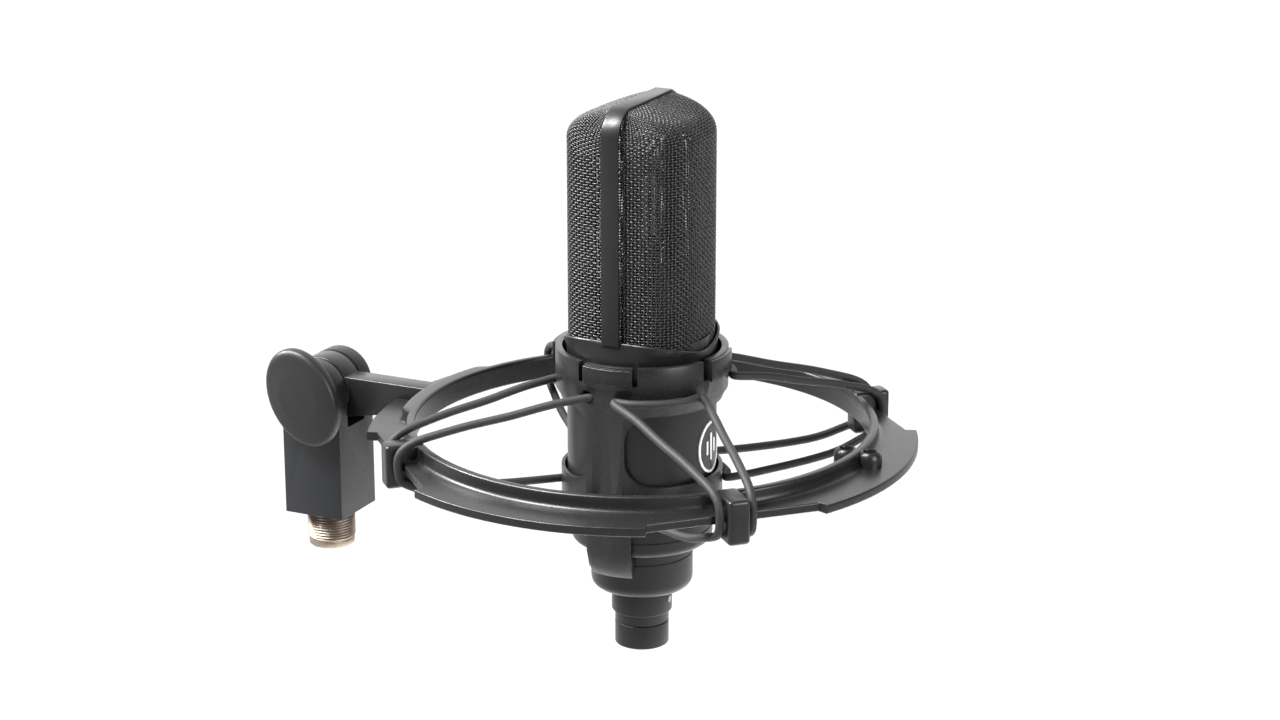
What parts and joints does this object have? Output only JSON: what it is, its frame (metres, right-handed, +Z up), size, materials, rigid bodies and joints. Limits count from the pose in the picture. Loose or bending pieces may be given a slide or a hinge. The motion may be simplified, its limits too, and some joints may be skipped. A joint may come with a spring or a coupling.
{
  "type": "ribbon microphone",
  "caption": "Side-address ribbon microphone in an elastic-cord suspension ring, with a tilting arm, clamp knob and stand block.",
  "frame": {"origin": "middle of the stand bush's lower face, where the stand's thread enters", "axes": "+Z up along the microphone, +Y from the microphone towards the stand block, +X to the right seen from the microphone's front"},
  "size_m": [0.173, 0.2151, 0.1775],
  "materials": {
    "black_paint": "satin black paint, fine grain",
    "black_plastic": "fine matt moulded black",
    "grille_wire": "woven wire, black paint",
    "cord_rubber": "dull dark grey",
    "nickel": "nickel plate, warm",
    "steel": "plain machined",
    "magnet": "nickel plated",
    "ribbon_foil": "bright foil",
    "transformer_can": "grey can",
    "board": "green solder resist",
    "badge_enamel": "gloss black with a pale rim"
  },
  "bodies": {
    "clamp": {"stand_block": "black_paint", "stand_bush": "nickel", "clamp_nut": "steel", "washer_left": "steel", "washer_right": "steel"},
    "knob": {"thumb_knob": "black_plastic", "clamp_bolt": "steel"},
    "ring": {"ring_frame": "black_plastic", "elastic_cord_front_left": "cord_rubber", "elastic_cord_front_right": "cord_rubber", "elastic_cord_rear_left_side": "cord_rubber", "elastic_cord_rear_left_end": "cord_rubber", "elastic_cord_rear_right_side": "cord_rubber", "elastic_cord_rear_right_end": "cord_rubber"},
    "cradle": {"cradle": "black_plastic"},
    "microphone": {"body_tube": "black_paint", "base_housing": "black_paint", "grille_front": "grille_wire", "grille_rear": "grille_wire", "grille_strap": "black_paint", "front_badge": "badge_enamel", "xlr_shell": "black_paint", "xlr_collar": "black_paint", "connector_screw": "steel", "xlr_insert": "black_plastic", "xlr_pin_1": "nickel", "xlr_pin_2": "nickel", "xlr_pin_3": "nickel", "head_plate": "steel", "base_plate": "steel", "chassis_rod_left": "steel", "chassis_rod_right": "steel", "output_transformer": "transformer_can", "circuit_board": "board", "motor_stand": "black_plastic", "motor_frame": "black_paint", "magnet_left": "magnet", "magnet_right": "magnet", "ribbon": "ribbon_foil", "ribbon_clamp_top": "steel", "ribbon_clamp_bottom": "steel"}
  },
  "joints": [
    {"name": "knob_turn", "type": "hinge", "parent": "clamp", "child": "knob", "pos_m": [0, 0, 0.0551], "axis": [-1, 0, 0], "range_deg": [0, 270]},
    {"name": "arm_tilt", "type": "hinge", "parent": "clamp", "child": "ring", "pos_m": [0, 0, 0.0551], "axis": [-1, 0, 0], "range_deg": [-10, 180]},
    {"name": "suspension", "type": "slide", "parent": "ring", "child": "cradle", "axis": [0, 0, 1], "range_m": [-0.004, 0.004], "stiffness_N_per_m": 2500, "springref_m": 0.0018, "deforming": ["elastic_cord_front_left", "elastic_cord_front_right", "elastic_cord_rear_left_side", "elastic_cord_rear_left_end", "elastic_cord_rear_right_side", "elastic_cord_rear_right_end"]},
    {"name": "lift_out", "type": "slide", "parent": "cradle", "child": "microphone", "axis": [0, 0, 1], "range_m": [0, 0.105]}
  ]
}
